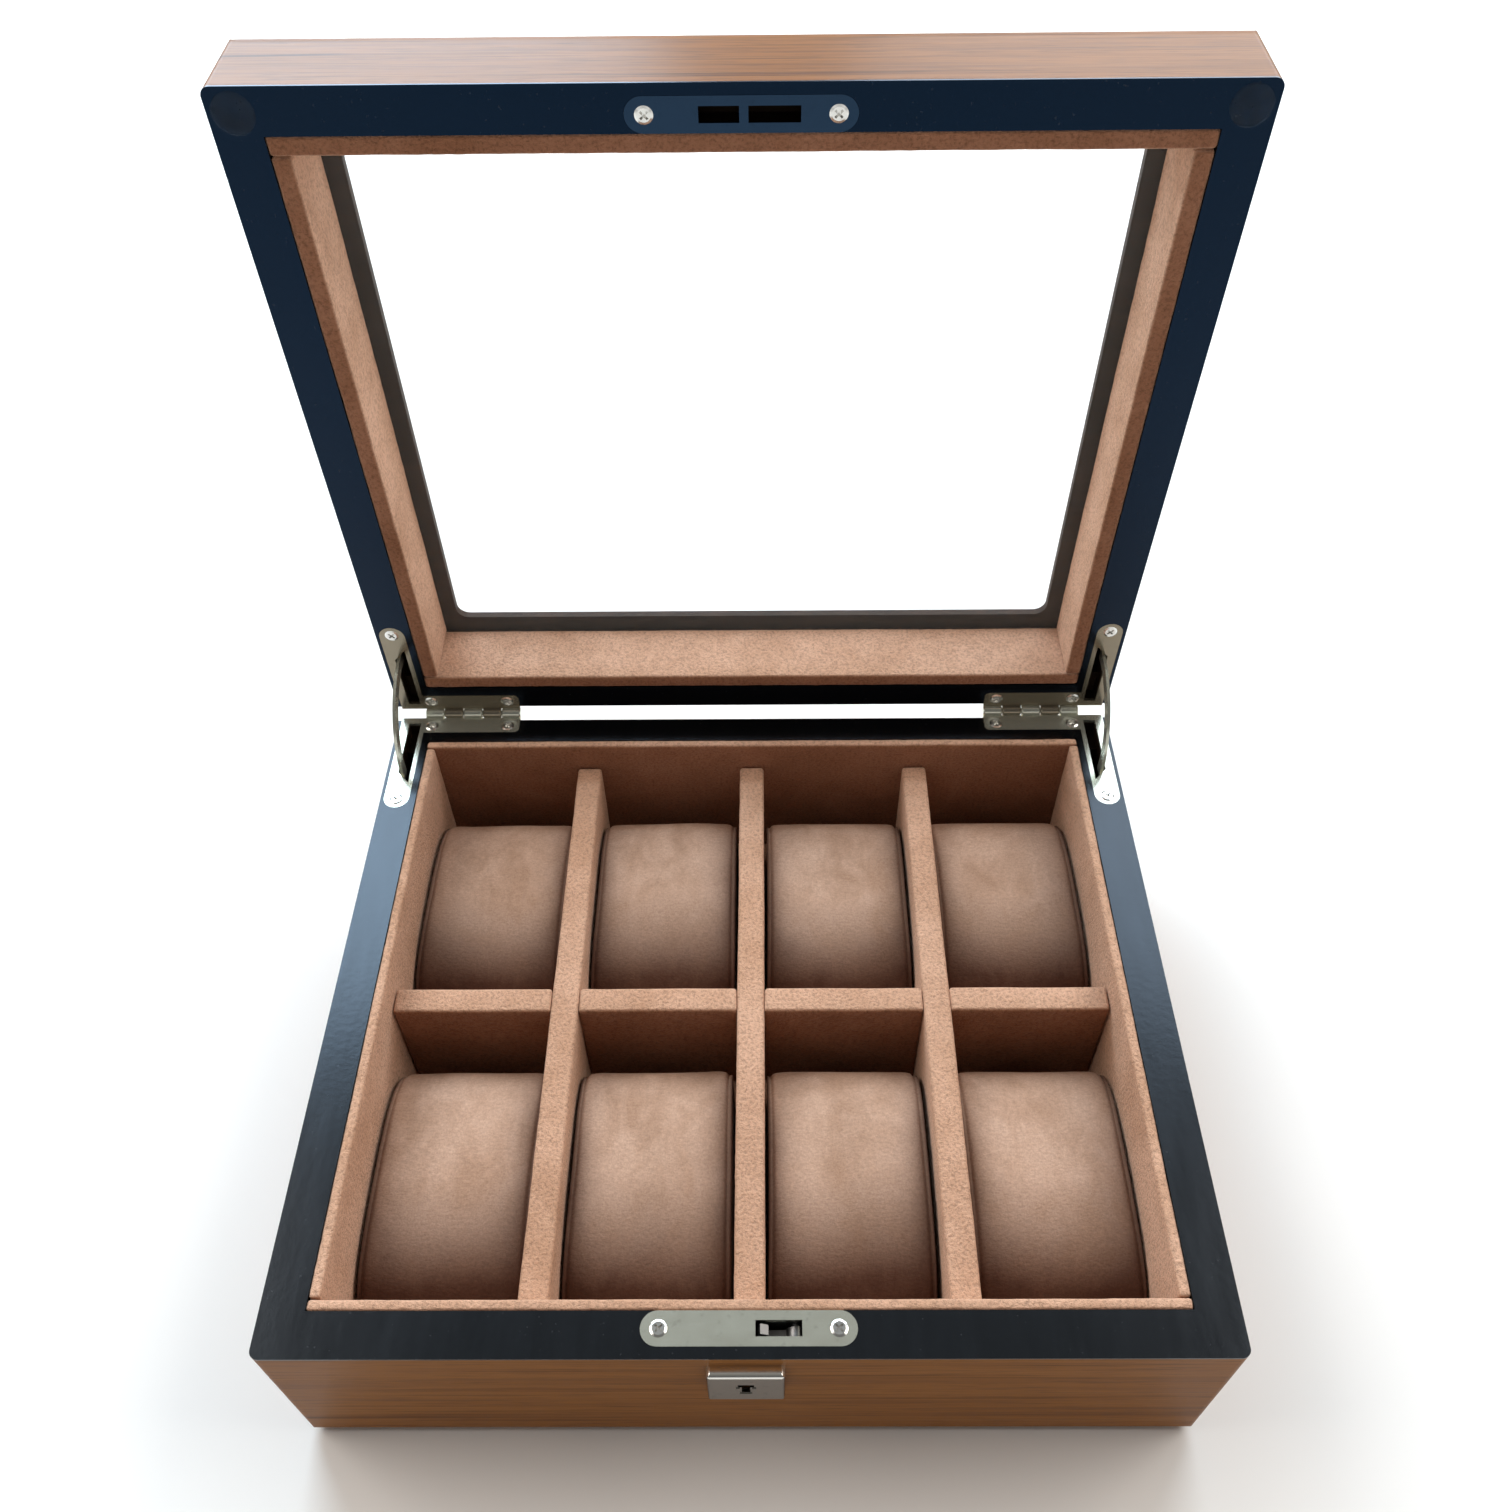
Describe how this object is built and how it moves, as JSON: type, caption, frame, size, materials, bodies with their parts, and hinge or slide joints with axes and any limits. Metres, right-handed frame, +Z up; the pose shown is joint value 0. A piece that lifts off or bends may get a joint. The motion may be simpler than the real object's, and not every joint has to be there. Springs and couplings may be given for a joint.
{
  "type": "watch box",
  "caption": "Wooden watch box with a glazed hinged lid, curved stays, a hook lock, lined compartments and lift-out cushions, shown open.",
  "frame": {"origin": "middle of the underside of the base, on the surface the box stands on", "axes": "+Z up, -Y towards the front with the lock, +X to the right of someone facing the front"},
  "size_m": [0.3, 0.3007, 0.3411],
  "materials": {
    "walnut": "satin lacquered veneer",
    "black_lacquer": "satin black lacquer",
    "velvet": "short velvet pile",
    "suede": "suede",
    "nickel": "polished nickel plate",
    "satin_nickel": "satin nickel plate",
    "lock_steel": "plain steel",
    "felt": "felt",
    "panel": "plain board",
    "window_frame": "dark satin veneer",
    "glass": "clear float glass",
    "clear_pad": "soft clear polyurethane"
  },
  "bodies": {
    "base": {"base_front_wall": "walnut", "base_back_wall": "walnut", "base_left_wall": "walnut", "base_right_wall": "walnut", "base_rim": "black_lacquer", "base_bottom_panel": "panel", "base_felt": "felt", "floor_pad": "velvet", "base_lining_front": "velvet", "base_lining_back": "velvet", "base_lining_left": "velvet", "base_lining_right": "velvet", "divider_left": "velvet", "divider_centre": "velvet", "divider_right": "velvet", "divider_cross": "velvet", "hinge_leaf_base_left": "nickel", "hinge_leaf_base_right": "nickel", "hinge_pin_left": "nickel", "hinge_pin_right": "nickel", "hinge_screws_base": "nickel", "lock_faceplate": "satin_nickel", "lock_case": "lock_steel", "lock_pivot": "lock_steel", "lock_screws": "satin_nickel", "escutcheon": "nickel"},
    "lid": {"lid_front_wall": "walnut", "lid_back_wall": "walnut", "lid_left_wall": "walnut", "lid_right_wall": "walnut", "lid_rim": "black_lacquer", "lid_top_frame": "walnut", "glass_pane": "glass", "lid_lining_front": "velvet", "lid_lining_back": "velvet", "lid_lining_left": "velvet", "lid_lining_right": "velvet", "hinge_leaf_lid_left": "nickel", "hinge_leaf_lid_right": "nickel", "hinge_screws_lid": "nickel", "strike_plate": "satin_nickel", "strike_screws": "satin_nickel", "bumper_pads": "clear_pad"},
    "stay_left": {"hinge_stay_left": "nickel"},
    "stay_right": {"hinge_stay_right": "nickel"},
    "key_barrel": {"key_barrel": "lock_steel"},
    "lock_hook": {"lock_hook": "lock_steel"},
    "cushion_front_1": {"cushion_front_1": "suede"},
    "cushion_front_2": {"cushion_front_2": "suede"},
    "cushion_front_3": {"cushion_front_3": "suede"},
    "cushion_front_4": {"cushion_front_4": "suede"},
    "cushion_back_1": {"cushion_back_1": "suede"},
    "cushion_back_2": {"cushion_back_2": "suede"},
    "cushion_back_3": {"cushion_back_3": "suede"},
    "cushion_back_4": {"cushion_back_4": "suede"}
  },
  "joints": [
    {"name": "lid_hinge", "type": "hinge", "parent": "base", "child": "lid", "pos_m": [0, 0.1324, 0.0769], "axis": [-1, 0, 0], "range_deg": [-88, 0]},
    {"name": "stay_left_swing", "type": "hinge", "parent": "base", "child": "stay_left", "pos_m": [-0.1435, 0.1324, 0.0769], "axis": [-1, 0, 0], "range_deg": [-44, 0]},
    {"name": "stay_right_swing", "type": "hinge", "parent": "base", "child": "stay_right", "pos_m": [0.1435, 0.1324, 0.0769], "axis": [-1, 0, 0], "range_deg": [-44, 0]},
    {"name": "key_turn", "type": "hinge", "parent": "base", "child": "key_barrel", "pos_m": [-0.001, -0.12205, 0.0592], "axis": [0, -1, 0], "range_deg": [0, 95]},
    {"name": "hook_swing", "type": "hinge", "parent": "base", "child": "lock_hook", "pos_m": [0.0145, -0.12205, 0.0705], "axis": [0, 1, 0], "range_deg": [0, 95]},
    {"name": "cushion_front_1_lift", "type": "slide", "parent": "base", "child": "cushion_front_1", "axis": [0, 0, 1], "range_m": [0, 0.09]},
    {"name": "cushion_front_2_lift", "type": "slide", "parent": "base", "child": "cushion_front_2", "axis": [0, 0, 1], "range_m": [0, 0.09]},
    {"name": "cushion_front_3_lift", "type": "slide", "parent": "base", "child": "cushion_front_3", "axis": [0, 0, 1], "range_m": [0, 0.09]},
    {"name": "cushion_front_4_lift", "type": "slide", "parent": "base", "child": "cushion_front_4", "axis": [0, 0, 1], "range_m": [0, 0.09]},
    {"name": "cushion_back_1_lift", "type": "slide", "parent": "base", "child": "cushion_back_1", "axis": [0, 0, 1], "range_m": [0, 0.09]},
    {"name": "cushion_back_2_lift", "type": "slide", "parent": "base", "child": "cushion_back_2", "axis": [0, 0, 1], "range_m": [0, 0.09]},
    {"name": "cushion_back_3_lift", "type": "slide", "parent": "base", "child": "cushion_back_3", "axis": [0, 0, 1], "range_m": [0, 0.09]},
    {"name": "cushion_back_4_lift", "type": "slide", "parent": "base", "child": "cushion_back_4", "axis": [0, 0, 1], "range_m": [0, 0.09]}
  ],
  "couplings": [
    {"joint": "stay_left_swing", "follows": "lid_hinge", "ratio": 0.5},
    {"joint": "stay_right_swing", "follows": "lid_hinge", "ratio": 0.5},
    {"joint": "hook_swing", "follows": "key_turn", "ratio": 1}
  ]
}
